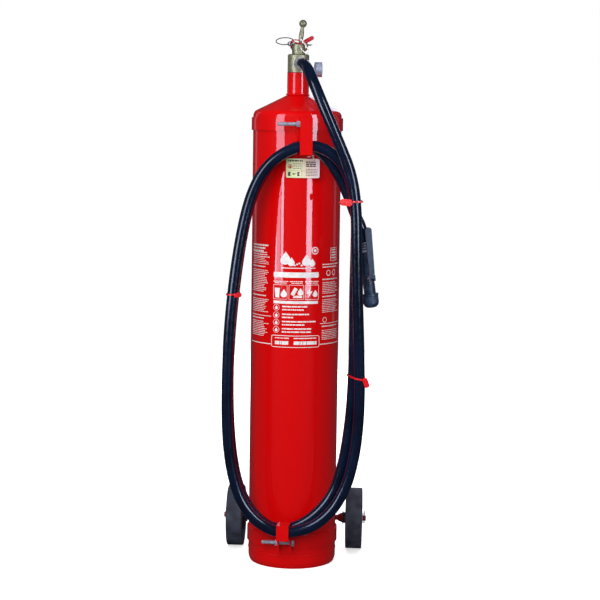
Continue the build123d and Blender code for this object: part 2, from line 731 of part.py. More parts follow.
def inspection_card():
    face = RectangleRounded(75, CARD_Z1 - CARD_Z0, 4)
    frame = Plane(origin=(CARD_X, CARD_Y, (CARD_Z0 + CARD_Z1) / 2), x_dir=(1, 0, 0), z_dir=(0, -1, 0))
    card = frame.location * extrude(face, 0.9)
    return card - rod_y(1.6, -120, -90, 44.5, 936.5)


def card_cord():
    """A thread loop from the card's hole up to the hook's floor."""
    loop = FilletPolyline(
        (40.5, -107.6, 948.4),
        (44.5, -106.6, 936.5),
        (44.5, -102.6, 936.5),
        (43.0, -102.2, 948.4),
        radius=1.5,
    )
    return sweep(Plane(origin=loop @ 0, z_dir=loop % 0) * Circle(0.6), path=loop)


def hose_tie(z, centres, tag_at, tag_size, tag_turn):
    """A flat strap drawn round the strands at one height, with the tag at its lock."""
    strap_h, slack, strap_t = 4.5, 1.2, 1.4
    rings = []
    for grow in (slack, slack + strap_t):
        edges = [Pos(x, y) * Edge.make_circle(HOSE_D / 2 + grow) for x, y in centres]
        rings.append(Pos(0, 0, z - strap_h / 2) * extrude(make_hull(edges), strap_h))
    face = RectangleRounded(*tag_size, min(tag_size) * 0.3)
    tag = Pos(*tag_at) * Rot(90, 0, 0) * Rot(0, 0, tag_turn) * extrude(face, 2, both=True)
    return (rings[1] + tag) - rings[0]


def hose_tie_upper():
    return hose_tie(850, [(143.0, -172.5), (138.5, -144.0), (128.5, -118.0)], (121, -181, 848), (28, 16), 3)


def hose_tie_left():
    return hose_tie(637, [(-131.5, -144.0), (-131.3, -118.0)], (-118, -151, 636), (16, 12), 20)


def hose_tie_lower():
    return hose_tie(455, [(155.5, -153.0), (141.3, -128.5)], (170, -163, 447), (13, 24), -20)


# ---------------------------------------------------------------- the sub-parts
PARTS = {
    "shell_tube": shell_tube(),
    "base_skirt": base_skirt(),
    "bottom_dish": bottom_dish(),
    "top_cone": top_cone(),
    "neck_boss": neck_boss(),
    "powder_charge": powder_charge(),
    "siphon_tube": siphon_tube(),
    "neck_seal": neck_seal(),
    "valve_body": valve_body(),
    "valve_bonnet": valve_bonnet(),
    "lever_pivot_pin": lever_pivot_pin(),
    "lever": lever(),
    "valve_spindle": valve_spindle(),
    "spindle_seal": spindle_seal(),
    "spindle_spring": spindle_spring(),
    "safety_pin": safety_pin(),
    "pull_ring": pull_ring(),
    "seal_strap": seal_strap(),
    "seal_tag": seal_tag(),
    "seal_thread": seal_thread(),
    "gauge_stem": gauge_stem(),
    "gauge_case": gauge_case(),
    "gauge_dial": gauge_dial(),
    "gauge_needle": gauge_needle(),
    "gauge_lens": gauge_lens(),
    "gauge_bezel": gauge_bezel(),
    "outlet_nipple": outlet_nipple(),
    "ferrule_valve": ferrule_valve(),
    "hose": hose(),
    "ferrule_gun": ferrule_gun(),
    "gun_body": gun_body(),
    "trigger_pin": trigger_pin(),
    "gun_trigger": gun_trigger(),
    "gun_plunger": gun_plunger(),
    "gun_nozzle": gun_nozzle(),
    "upper_band": upper_band(),
    "upper_hook": upper_hook(),
    "upper_bolt": bolt(UPPER_HOOK_ANGLE, UPPER_EAR, UPPER_BOLT_R, UPPER_BOLT_Z, UPPER_BOLT_TIP),
    "rear_handle": rear_handle(),
    "lower_band": lower_band(),
    "lower_hook": lower_hook(),
    "lower_bolt": bolt(LOWER_HOOK_ANGLE, LOWER_EAR, LOWER_BOLT_R, LOWER_BOLT_Z, LOWER_BOLT_TIP),
    "clamp_nuts": clamp_nuts(),
    "axle": axle(),
    "axle_brackets": axle_brackets(),
    "axle_collars": axle_collars(),
    "inner_washers": inner_washers(),
    "outer_washers": outer_washers(),
    "cotter_pins": cotter_pins(),
    "inspection_card": inspection_card(),
    "card_cord": card_cord(),
    "hose_tie_upper": hose_tie_upper(),
    "hose_tie_left": hose_tie_left(),
    "hose_tie_lower": hose_tie_lower(),
}
for side_name, side in (("left", -1), ("right", 1)):
    PARTS[f"{side_name}_tyre"] = tyre(side)
    PARTS[f"{side_name}_rim"] = rim(side)
    PARTS[f"{side_name}_bush"] = bush(side)

os.makedirs("parts", exist_ok=True)
for name, shape in PARTS.items():
    export_step(shape, f"parts/{name}.step")
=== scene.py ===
import json
import math
import random

import bmesh
import bpy
from mathutils import Matrix, Vector


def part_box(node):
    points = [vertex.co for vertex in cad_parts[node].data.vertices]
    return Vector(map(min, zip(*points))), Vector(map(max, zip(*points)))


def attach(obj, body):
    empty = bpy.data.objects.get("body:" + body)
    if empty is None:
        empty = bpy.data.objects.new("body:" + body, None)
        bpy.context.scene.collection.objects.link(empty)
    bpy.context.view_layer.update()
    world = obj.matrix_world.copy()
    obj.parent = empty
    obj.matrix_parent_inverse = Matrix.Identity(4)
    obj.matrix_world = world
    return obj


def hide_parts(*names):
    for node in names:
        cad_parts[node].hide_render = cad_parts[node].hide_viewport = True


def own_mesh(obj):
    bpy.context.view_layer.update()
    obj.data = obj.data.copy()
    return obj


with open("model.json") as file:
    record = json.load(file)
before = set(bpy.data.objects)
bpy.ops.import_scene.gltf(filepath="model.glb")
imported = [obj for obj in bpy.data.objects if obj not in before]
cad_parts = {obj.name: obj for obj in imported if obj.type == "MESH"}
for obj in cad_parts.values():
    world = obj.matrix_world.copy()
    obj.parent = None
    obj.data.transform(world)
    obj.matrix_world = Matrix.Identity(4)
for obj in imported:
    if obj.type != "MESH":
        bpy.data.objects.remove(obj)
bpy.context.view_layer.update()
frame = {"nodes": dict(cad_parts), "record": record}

SHELL_R = 0.1015


# ---------------------------------------------------------------- camera
def make_camera():
    """A camera a little to the right of the front, above the middle, looking slightly down."""
    azimuth, pitch, roll = math.radians(3.51), math.radians(6.0), math.radians(0.8)
    distance, height = 3.989, 1.0633
    data = bpy.data.cameras.new("camera")
    data.lens, data.sensor_width = 104.1, 36
    data.shift_x, data.shift_y = 0.0078, -0.0243
    camera = bpy.data.objects.new("camera", data)
    bpy.context.scene.collection.objects.link(camera)
    place = Matrix.Translation((distance * math.sin(azimuth), -distance * math.cos(azimuth), height))
    level = Matrix.Rotation(azimuth, 4, "Z") @ Matrix.Rotation(math.pi / 2 - pitch, 4, "X")
    camera.matrix_world = place @ level @ Matrix.Rotation(roll, 4, "Z")
    bpy.context.scene.camera = camera


make_camera()
bpy.context.scene.view_settings.view_transform = "Standard"


# ---------------------------------------------------------------- materials
class Surface:
    """A Principled material whose colour, roughness and bump come from procedural textures."""

    def __init__(self, name, colour, roughness, metallic=0.0, coat=0.0, coat_roughness=0.03, specular=0.5):
        self.material = bpy.data.materials.new(name)
        self.material.use_nodes = True
        self.nodes = self.material.node_tree.nodes
        self.links = self.material.node_tree.links
        self.shader = self.nodes["Principled BSDF"]
        self.colour = colour
        self.shader.inputs["Base Color"].default_value = (*colour, 1)
        self.shader.inputs["Roughness"].default_value = roughness
        self.shader.inputs["Metallic"].default_value = metallic
        self.shader.inputs["Coat Weight"].default_value = coat
        self.shader.inputs["Coat Roughness"].default_value = coat_roughness
        self.shader.inputs["Specular IOR Level"].default_value = specular
        self.coordinates = self.nodes.new("ShaderNodeTexCoord").outputs["Object"]
        self.last_bump = None

    def scaled(self, scale):
        node = self.nodes.new("ShaderNodeMapping")
        node.inputs["Scale"].default_value = scale
        self.links.new(self.coordinates, node.inputs["Vector"])
        return node.outputs["Vector"]

    def noise(self, scale, detail=3.0, stretch=(1, 1, 1)):
        node = self.nodes.new("ShaderNodeTexNoise")
        node.inputs["Scale"].default_value = scale
        node.inputs["Detail"].default_value = detail
        self.links.new(self.scaled(stretch), node.inputs["Vector"])
        return node.outputs["Fac"]

    def ramp(self, source, stops):
        node = self.nodes.new("ShaderNodeValToRGB")
        self.links.new(source, node.inputs["Fac"])
        elements = node.color_ramp.elements
        while len(elements) < len(stops):
            elements.new(0.5)
        for element, (position, value) in zip(elements, stops):
            element.position = position
            element.color = (*value, 1)
        return node.outputs["Color"]

    def tint(self, source, dark, light, low=0.35, high=0.65):
        """Varies the base colour between dark and light multiples of it."""
        stops = [(low, [c * dark for c in self.colour]), (high, [c * light for c in self.colour])]
        self.links.new(self.ramp(source, stops), self.shader.inputs["Base Color"])
        return self

    def rough(self, source, low, high):
        node = self.nodes.new("ShaderNodeMapRange")
        node.inputs["From Min"].default_value = 0.3
        node.inputs["From Max"].default_value = 0.7
        node.inputs["To Min"].default_value = low
        node.inputs["To Max"].default_value = high
        self.links.new(source, node.inputs["Value"])
        self.links.new(node.outputs["Result"], self.shader.inputs["Roughness"])
        return self

    def bump(self, source, depth, strength=1.0):
        node = self.nodes.new("ShaderNodeBump")
        node.inputs["Strength"].default_value = strength
        node.inputs["Distance"].default_value = depth
        self.links.new(source, node.inputs["Height"])
        if self.last_bump:
            self.links.new(self.last_bump, node.inputs["Normal"])
        self.last_bump = node.outputs["Normal"]
        self.links.new(self.last_bump, self.shader.inputs["Normal"])
        if self.shader.inputs["Coat Weight"].default_value:
            self.links.new(self.last_bump, self.shader.inputs["Coat Normal"])
        return self


def red_paint():
    """Baked powder paint: glossy, with a faint orange peel and slightly uneven depth of colour."""
    s = Surface("red_paint", (0.69, 0.0008, 0.0012), 0.45, coat=1.0, coat_roughness=0.045, specular=0.04)
    s.tint(s.noise(3, 2, (1, 1, 0.3)), 0.96, 1.03, 0.2, 0.8)
    s.rough(s.noise(22, 4), 0.4, 0.5)
    return s.bump(s.noise(170, 1), 0.00003)


def hose_rubber():
    """Smooth extruded rubber with faint lines along it and a little dust."""
    s = Surface("hose_rubber", (0.0018, 0.0052, 0.018), 0.16, specular=0.55)
    s.tint(s.noise(16, 5), 0.8, 1.6)
    s.rough(s.noise(90, 5), 0.12, 0.22)
    s.bump(s.noise(620, 3), 0.00002)
    return s.bump(s.noise(60, 2, (1, 1, 0.15)), 0.00012)


def valve_brass():
    """Machined brass, dulled to an olive grey, with turning marks and small stains."""
    s = Surface("valve_brass", (0.335, 0.315, 0.195), 0.44, metallic=0.68)
    s.tint(s.noise(120, 6), 0.72, 1.2)
    s.rough(s.noise(260, 4), 0.38, 0.54)
    s.bump(s.noise(60, 3, (1, 1, 40)), 0.00004)
    return s.bump(s.noise(900, 2), 0.00003)


def zinc_steel():
    """Bright zinc plate, cloudy from the bath, with fine drawing marks."""
    s = Surface("zinc_steel", (0.41, 0.42, 0.52), 0.42, metallic=0.35)
    s.tint(s.noise(170, 5), 0.65, 1.2)
    s.rough(s.noise(330, 4), 0.34, 0.55)
    return s.bump(s.noise(500, 3, (1, 1, 4)), 0.00004)


def chrome():
    s = Surface("chrome", (0.46, 0.51, 0.68), 0.3, metallic=0.4)
    s.tint(s.noise(60, 3), 0.85, 1.1)
    return s.rough(s.noise(400, 4), 0.22, 0.38)


def black_plastic():
    """Moulded black plastic with a fine leather-like grain."""
    s = Surface("black_plastic", (0.014, 0.029, 0.064), 0.34)
    s.tint(s.noise(70, 5), 0.7, 1.6)
    s.rough(s.noise(200, 4), 0.3, 0.5)
    return s.bump(s.noise(1100, 4), 0.00012)


def tyre_rubber():
    """Solid rubber with dust in it, and a fine, sandy surface."""
    s = Surface("tyre_rubber", (0.027, 0.032, 0.05), 0.65)
    s.tint(s.noise(45, 6), 0.6, 1.7)
    s.rough(s.noise(90, 5), 0.5, 0.8)
    s.bump(s.noise(700, 4), 0.0002)
    return s.bump(s.noise(35, 3), 0.0006)


def red_plastic():
    """Thin, slightly clear red plastic, with flow lines from the mould."""
    s = Surface("red_plastic", (0.78, 0.006, 0.012), 0.25, coat=0.4)
    s.tint(s.noise(90, 5), 0.82, 1.15)
    s.rough(s.noise(200, 4), 0.18, 0.32)
    return s.bump(s.noise(420, 3), 0.0001)


def seal_plastic():
    """The seal's darker, glossier red."""
    s = Surface("seal_plastic", (0.42, 0.003, 0.016), 0.22, coat=0.7)
    s.tint(s.noise(140, 4), 0.75, 1.2)
    s.rough(s.noise(260, 3), 0.16, 0.3)
    return s.bump(s.noise(500, 3), 0.00008)


def plain(name, colour, roughness, bump_scale=500.0, bump_depth=0.00005, metallic=0.0):
    """A matt surface with gentle mottling and a fine grain."""
    s = Surface(name, colour, roughness, metallic=metallic)
    s.tint(s.noise(80, 5), 0.88, 1.08)
    s.rough(s.noise(200, 4), roughness * 0.85, min(1.0, roughness * 1.15))
    return s.bump(s.noise(bump_scale, 3), bump_depth)


def clear_lens():
    s = Surface("clear_lens", (0.95, 0.95, 0.97), 0.03)
    s.shader.inputs["Transmission Weight"].default_value = 0.95
    s.shader.inputs["IOR"].default_value = 1.45
    return s.rough(s.noise(300, 4), 0.01, 0.05)


def card_paper():
    """A laminated card that runs from pale green on the left, through cream, to lilac pink."""
    s = Surface("card", (0.8, 0.8, 0.7), 0.35, coat=0.3)
    separate = s.nodes.new("ShaderNodeSeparateXYZ")
    s.links.new(s.coordinates, separate.inputs["Vector"])
    across = s.nodes.new("ShaderNodeMapRange")
    across.inputs["From Min"].default_value = -0.018
    across.inputs["From Max"].default_value = 0.057
    s.links.new(separate.outputs["X"], across.inputs["Value"])
    green, cream, pink, lilac = (0.62, 0.70, 0.34), (0.84, 0.82, 0.56), (0.80, 0.60, 0.52), (0.72, 0.58, 0.66)
    stops = [(0.0, green), (0.42, cream), (0.72, pink), (1.0, lilac)]
    s.links.new(s.ramp(across.outputs["Result"], stops), s.shader.inputs["Base Color"])
    s.rough(s.noise(150, 4), 0.28, 0.42)
    return s.bump(s.noise(400, 3), 0.00006)


SURFACES = {
    "red_paint": red_paint(),
    "powder": plain("powder", (0.80, 0.78, 0.62), 0.95, 900, 0.0004),
    "inner_plastic": plain("inner_plastic", (0.75, 0.75, 0.72), 0.5),
    "seal_rubber": plain("seal_rubber", (0.012, 0.012, 0.012), 0.6, 600, 0.0001),
    "valve_brass": valve_brass(),
    "zinc_steel": zinc_steel(),
    "chrome": chrome(),
    "dial_paint": plain("dial_paint", (0.85, 0.85, 0.83), 0.5),
    "needle_paint": plain("needle_paint", (0.01, 0.01, 0.01), 0.4),
    "clear_lens": clear_lens(),
    "hose_rubber": hose_rubber(),
    "black_plastic": black_plastic(),
    "red_plastic": red_plastic(),
    "tyre_rubber": tyre_rubber(),
    "card": card_paper(),
    "thread": plain("thread", (0.85, 0.85, 0.83), 0.8, 1500, 0.0003),
    "wire_steel": plain("wire_steel", (0.060, 0.058, 0.070), 0.35, metallic=0.3),
    # painted shade: a darker copy of the red paint, for the axle and its collars
    "shaded_red_paint": plain("shaded_red_paint", (0.20, 0.006, 0.010), 0.45, 300, 0.0001),
    # painted shade: a darker copy of the zinc plate, for the inner washers and the cotter pins
    "shaded_zinc_steel": plain("shaded_zinc_steel", (0.10, 0.09, 0.11), 0.5, 300, 0.0001, metallic=0.5),
    "seal_plastic": seal_plastic(),
    "white_ink": plain("white_ink", (0.86, 0.82, 0.83), 0.35),
    "green_ink": plain("green_ink", (0.05, 0.35, 0.10), 0.5),
    "red_ink": plain("red_ink", (0.55, 0.02, 0.02), 0.5),
}

# Pieces that look different from the rest of their slot. The axle, its collars, the inner washers and the
# cotter pins get darker copies of the red paint and the zinc: painted shade for their place low between the
# cylinder and the wheels.
NODE_SURFACES = {
    "pull_ring": "wire_steel",
    "safety_pin": "wire_steel",
    "axle_collars": "shaded_red_paint",
    "inner_washers": "shaded_zinc_steel",
    "axle": "shaded_red_paint",
    "cotter_pins": "shaded_zinc_steel",
}
for row in frame["record"]["subparts"]:
    surface = NODE_SURFACES.get(row["node"], row["material_slot"])
    for material_slot in frame["nodes"][row["node"]].material_slots:
        material_slot.material = SURFACES[surface].material


# ---------------------------------------------------------------- piece helpers
def add_piece(obj, body, slot, surface=None):
    """Links a piece, gives it its material, and makes it ride on its body."""
    if obj.name not in bpy.context.scene.collection.objects:
        bpy.context.scene.collection.objects.link(obj)
    obj.data.materials.clear()
    obj.data.materials.append(SURFACES[surface or slot].material)
    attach(obj, body)
    return obj


def mesh_piece(name, bm, body, slot, surface=None, smooth=True, bevel=0.0):
    """Turns a bmesh into a piece, with an optional rounded edge."""
    bmesh.ops.recalc_face_normals(bm, faces=bm.faces)
    mesh = bpy.data.meshes.new(name)
    bm.to_mesh(mesh)
    bm.free()
    obj = bpy.data.objects.new(name, mesh)
    if bevel:
        modifier = obj.modifiers.new("edge", "BEVEL")
        modifier.width, modifier.segments, modifier.limit_method = bevel, 3, "ANGLE"
    if smooth:
        for polygon in mesh.polygons:
            polygon.use_smooth = True
        mesh.set_sharp_from_angle(angle=math.radians(40))
    return add_piece(obj, body, slot, surface)


def curve_piece(name, points, diameter, body, slot, surface=None, roundness=8):
    """A round cord, rod or wire on one smooth NURBS line."""
    data = bpy.data.curves.new(name, "CURVE")
    data.dimensions = "3D"
    data.bevel_depth = diameter / 2
    data.bevel_resolution = roundness
    data.use_fill_caps = True
    spline = data.splines.new("NURBS")
    spline.points.add(len(points) - 1)
    for point, at in zip(spline.points, points):
        point.co = (*at, 1)
    spline.order_u = 3
    spline.use_endpoint_u = True
    spline.resolution_u = 12
    return add_piece(bpy.data.objects.new(name, data), body, slot, surface)


def lathe(bm, profile, place=Matrix(), segments=64):
    """Adds a solid of revolution about local Z from (radius, height) points, closed at both ends."""
    rings = []
    for r, z in profile:
        ring = []
        for k in range(segments):
            a = 2 * math.pi * k / segments
            ring.append(bm.verts.new(place @ Vector((r * math.cos(a), r * math.sin(a), z))))
        rings.append(ring)
    for low, high in zip(rings, rings[1:]):
        for k in range(segments):
            bm.faces.new((low[k], low[k - 1], high[k - 1], high[k]))
    bm.faces.new(rings[0])
    bm.faces.new(list(reversed(rings[-1])))


def slab(bm, outline, depth, place):
    """Adds a flat plate: an outline in local XY, from local z 0 to depth."""
    low = [bm.verts.new(place @ Vector((x, y, 0))) for x, y in outline]
    high = [bm.verts.new(place @ Vector((x, y, depth))) for x, y in outline]
    bm.faces.new(list(reversed(low)))
    bm.faces.new(high)
    for k in range(len(outline)):
        bm.faces.new((low[k - 1], low[k], high[k], high[k - 1]))


def rounded(width, height, radius, steps=6):
    """A rounded rectangle's outline, centred on the origin."""
    points = []
    for k, (sx, sy) in enumerate(((1, 1), (-1, 1), (-1, -1), (1, -1))):
        for s in range(steps + 1):
            a = math.pi / 2 * (k + s / steps)
            points.append(
                (
                    sx * (width / 2 - radius) + radius * math.cos(a),
                    sy * (height / 2 - radius) + radius * math.sin(a),
                )
            )
    return points


def facing(origin, x_axis, z_axis):
    """A placement whose local X and Z point the given ways."""
    z = Vector(z_axis).normalized()
    y = z.cross(Vector(x_axis)).normalized()
    x = y.cross(z)
    matrix = Matrix((x, y, z)).transposed().to_4x4()
    matrix.translation = Vector(origin)
    return matrix


# ---------------------------------------------------------------- hose
# The centre line: down from the valve, twice round the two hooks, and down to the gun.
HOSE_ROUTE = [
    (0.01146, -0.065, 1.152),
    (0.01676, -0.09504, 1.152),
    (0.027, -0.133, 1.143),
    (0.04, -0.162, 1.118),
    (0.057, -0.176, 1.08),
    (0.08, -0.18, 1.028),
    (0.105, -0.179, 0.972),
    (0.129, -0.176, 0.915),
    (0.142, -0.173, 0.848),
    (0.145, -0.169, 0.745),
    (0.148, -0.163, 0.64),
    (0.153, -0.157, 0.53),
    (0.157, -0.151, 0.415),
    (0.154, -0.148, 0.335),
    (0.146, -0.146, 0.27),
    (0.13, -0.145, 0.205),
    (0.1, -0.144, 0.15),
    (0.058, -0.144, 0.112),
    (0.012, -0.144, 0.097),
    (-0.034, -0.144, 0.098),
    (-0.076, -0.144, 0.123),
    (-0.108, -0.144, 0.166),
    (-0.127, -0.144, 0.223),
    (-0.138, -0.144, 0.291),
    (-0.142, -0.144, 0.372),
    (-0.1415, -0.144, 0.468),
    (-0.138, -0.144, 0.56),
    (-0.1305, -0.144, 0.645),
    (-0.12, -0.144, 0.73),
    (-0.106, -0.144, 0.808),
    (-0.09, -0.144, 0.866),
    (-0.066, -0.144, 0.914),
    (-0.028, -0.144, 0.951),
    (0.022, -0.144, 0.972),
    (0.07, -0.144, 0.966),
    (0.112, -0.144, 0.931),
    (0.134, -0.144, 0.877),
    (0.143, -0.144, 0.812),
    (0.1425, -0.1425, 0.735),
    (0.141, -0.138, 0.645),
    (0.142, -0.133, 0.555),
    (0.1415, -0.129, 0.47),
    (0.139, -0.125, 0.395),
    (0.132, -0.122, 0.32),
    (0.121, -0.12, 0.25),
    (0.102, -0.119, 0.186),
    (0.068, -0.118, 0.14),
    (0.03, -0.118, 0.11),
    (-0.008, -0.118, 0.0965),
    (-0.05, -0.118, 0.103),
    (-0.09, -0.118, 0.14),
    (-0.116, -0.118, 0.191),
    (-0.131, -0.118, 0.256),
    (-0.139, -0.118, 0.332),
    (-0.142, -0.118, 0.42),
    (-0.1405, -0.118, 0.515),
    (-0.134, -0.118, 0.605),
    (-0.1245, -0.118, 0.692),
    (-0.113, -0.118, 0.772),
    (-0.098, -0.118, 0.841),
    (-0.076, -0.118, 0.895),
    (-0.042, -0.118, 0.94),
    (0.008, -0.118, 0.9705),
    (0.056, -0.118, 0.965),
    (0.097, -0.118, 0.913),
    (0.123, -0.118, 0.861),
    (0.139, -0.118, 0.817),
    (0.155, -0.118, 0.786),
    (0.159, -0.118, 0.757),
]
HOSE_D = 0.025

hose = curve_piece("hose_line", HOSE_ROUTE, HOSE_D, "cylinder", "hose_rubber", roundness=12)
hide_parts("hose")


# ---------------------------------------------------------------- weld and fittings
def ring_bead(name, radius, z, thickness, body, slot):
    """A slightly uneven weld bead round the cylinder."""
    rng = random.Random(11)
    bm = bmesh.new()
    rings, around, across = [], 240, 8
    for k in range(around):
        a = 2 * math.pi * k / around
        swell = thickness / 2 * (1 + 0.12 * rng.uniform(-1, 1))
        ring = []
        for m in range(across):
            b = 2 * math.pi * m / across
            r = radius + swell * math.cos(b)
            ring.append(bm.verts.new((r * math.cos(a), r * math.sin(a), z + 1.6 * swell * math.sin(b))))
        rings.append(ring)
    for a, b in zip(rings, rings[1:] + rings[:1]):
        for m in range(across):
            bm.faces.new((a[m - 1], a[m], b[m], b[m - 1]))
    return mesh_piece(name, bm, body, slot)


def screw_thread(name, start, end, radius, pitch, body, slot):
    """A helical ridge round a bolt's shank."""
    start, end = Vector(start), Vector(end)
    along = (end - start).normalized()
    side = along.cross(Vector((0, 0, 1))).normalized()
    up = side.cross(along)
    steps = 14
    count = int((end - start).length / pitch * steps)
    bm = bmesh.new()
    root, tip = radius - 0.0002, radius + 0.0004
    crest = [(root, -0.42), (tip, -0.06), (tip, 0.06), (root, 0.42)]
    rows = []
    for k in range(count + 1):
        a = 2 * math.pi * k / steps
        out = side * math.cos(a) + up * math.sin(a)
        at = start + along * pitch * k / steps
        rows.append([bm.verts.new(at + out * r + along * pitch * w) for r, w in crest])
    for a, b in zip(rows, rows[1:]):
        for m in range(4):
            bm.faces.new((a[m - 1], a[m], b[m], b[m - 1]))
    bm.faces.new(rows[0])
    bm.faces.new(list(reversed(rows[-1])))
    return mesh_piece(name, bm, body, slot, smooth=False)


BOLT_R = 0.004
BOLT_PITCH = 0.00125


def bolt_thread(name, hook_angle, reach, z, tip, inner):
    """The threaded end of a clamp bolt, which runs across the front at this distance from the axis.

    The angle is the hook's, round the cylinder. Tip and inner are the thread's two ends, along the bolt.
    """
    a = math.radians(hook_angle)
    outward = Vector((math.sin(a), -math.cos(a), 0))
    across = Vector((math.cos(a), math.sin(a), 0))
    start = outward * reach + across * tip + Vector((0, 0, z))
    end = outward * reach + across * inner + Vector((0, 0, z))
    screw_thread(name, start, end, BOLT_R, BOLT_PITCH, "cylinder", "zinc_steel")


bolt_thread("upper_bolt_thread", hook_angle=10.4, reach=0.120, z=1.017, tip=-0.0575, inner=-0.0185)
bolt_thread("lower_bolt_thread", hook_angle=-4.2, reach=0.118, z=0.066, tip=-0.0515, inner=-0.025)


GUN_TOP = Vector((0.159, -0.118, 0.757))
GUN_DOWN = Vector((4, 0, -29)).normalized()


def gun_place(distance):
    """A placement on the gun's centre line whose local Z runs down the gun."""
    return facing(GUN_TOP + GUN_DOWN * distance, Vector((0.45, -0.89, 0)), GUN_DOWN)


def ring_row(name, count, first, spacing, inner, outer, chamfer, length):
    """Raised rings round the gun, each chamfered at both edges."""
    bm = bmesh.new()
    profile = [(inner, 0), (outer, chamfer), (outer, length - chamfer), (inner, length)]
    for k in range(count):
        lathe(bm, profile, gun_place(first + spacing * k), 48)
    mesh_piece(name, bm, "cylinder", "black_plastic")


def cap_knurl(count, top, radius, length):
    """Fine ribs along the edge of the nozzle cap."""
    bm = bmesh.new()
    for k in range(count):
        turn = Matrix.Rotation(2 * math.pi * k / count, 4, "Z")
        place = gun_place(top) @ turn @ Matrix.Translation((radius, 0, 0))
        slab(bm, rounded(0.0012, 0.0018, 0.0005, 3), length, place)
    mesh_piece("gun_cap_knurl", bm, "cylinder", "black_plastic")


ring_row("gun_grip_rings", 4, 0.096, 0.005, inner=0.0133, outer=0.0139, chamfer=0.0006, length=0.0022)
cap_knurl(30, top=0.1235, radius=0.0174, length=0.013)
ring_row("gun_ferrule_crimps", 3, 0.0035, 0.0055, inner=0.0136, outer=0.0142, chamfer=0.0005, length=0.0027)


# The dial faces this way round the cylinder. Its bands are in degrees from the dial's right-hand side.
GAUGE_ANGLE = math.radians(100)
DIAL_REACH, DIAL_Z = 0.04385, 1.140
DIAL_BANDS = (
    ("low", 150, 210, "red_ink"),
    ("good", 60, 120, "green_ink"),
    ("high", -30, 30, "red_ink"),
)
BAND_INNER_R, BAND_OUTER_R = 0.0112, 0.0135
TICK_R = 0.0102


def gauge_marks():
    """Tick marks and a coloured band on the dial, read from outside the gauge."""
    outward = Vector((math.sin(GAUGE_ANGLE), -math.cos(GAUGE_ANGLE), 0))
    across = Vector((math.cos(GAUGE_ANGLE), math.sin(GAUGE_ANGLE), 0))
    face = facing(outward * DIAL_REACH + Vector((0, 0, DIAL_Z)), across, outward)
    for name, start, stop, surface in DIAL_BANDS:
        bm = bmesh.new()
        outer, inner = [], []
        for k in range(13):
            b = math.radians(start + (stop - start) * k / 12)
            outer.append((BAND_OUTER_R * math.cos(b), BAND_OUTER_R * math.sin(b)))
            inner.append((BAND_INNER_R * math.cos(b), BAND_INNER_R * math.sin(b)))
        slab(bm, outer + inner[::-1], 0.00008, face)
        mesh_piece("dial_band_" + name, bm, "cylinder", "dial_paint", surface, smooth=False)
    bm = bmesh.new()
    for k in range(13):
        turn = Matrix.Rotation(math.radians(-30 + 20 * k), 4, "Z")
        long_tick = k % 3 == 0
        outline = rounded(0.0036 if long_tick else 0.0022, 0.0004, 0.0001, 2)
        slab(bm, outline, 0.0001, face @ turn @ Matrix.Translation((TICK_R, 0, 0)))
    mesh_piece("dial_ticks", bm, "cylinder", "dial_paint", "needle_paint", smooth=False)


gauge_marks()

SKIRT_SEAM_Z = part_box("base_skirt")[1][2]
ring_bead("skirt_weld", SHELL_R, SKIRT_SEAM_Z, thickness=0.0022, body="cylinder", slot="red_paint")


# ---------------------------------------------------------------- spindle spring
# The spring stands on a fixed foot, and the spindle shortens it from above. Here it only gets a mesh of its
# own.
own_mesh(frame["nodes"]["spindle_spring"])


# ---------------------------------------------------------------- tamper seal
THREAD_ROUTE = [
    (0.0065, -0.0216, 1.206),
    (0.0135, -0.022, 1.199),
    (0.0195, -0.022, 1.1905),
    (0.0245, -0.0225, 1.1805),
    (0.0205, -0.0235, 1.174),
    (0.0135, -0.022, 1.179),
    (0.007, -0.017, 1.1855),
]
THREAD_D = 0.0024

# The strap goes twice round the top of the bonnet, high in front of the lever and low behind it.
SEAL_ROUTE = [
    (0.0105, -0.0165, 1.2030),
    (0.0030, -0.0190, 1.2052),
    (-0.0125, -0.0165, 1.2062),
    (-0.0195, -0.0030, 1.1990),
    (-0.0150, 0.0125, 1.1870),
    (0.0015, 0.0185, 1.1805),
    (0.0165, 0.0125, 1.1860),
    (0.0205, -0.0010, 1.1945),
    (0.0130, -0.0160, 1.1965),
    (-0.0020, -0.0195, 1.1985),
    (-0.0130, -0.0190, 1.2025),
    (-0.0195, -0.0050, 1.1955),
    (-0.0160, 0.0115, 1.1835),
    (0.0015, 0.0200, 1.1770),
    (0.0175, 0.0125, 1.1830),
    (0.0215, -0.0005, 1.1925),
    (0.0185, -0.0125, 1.2000),
]


def knot(name, at, size, seed, body, slot):
    """A small lumpy knot: a ball pushed in and out by noise."""
    rng = random.Random(seed)
    bm = bmesh.new()
    bmesh.ops.create_icosphere(bm, subdivisions=3, radius=size / 2)
    lumps = []
    for _ in range(5):
        lumps.append(Vector([rng.uniform(-1, 1) for _ in range(3)]).normalized())
    for vert in bm.verts:
        away = vert.co.normalized()
        swell = max(away.dot(lump) for lump in lumps)
        vert.co = vert.co * (0.72 + 0.3 * swell) + Vector(at)
    return mesh_piece(name, bm, body, slot)


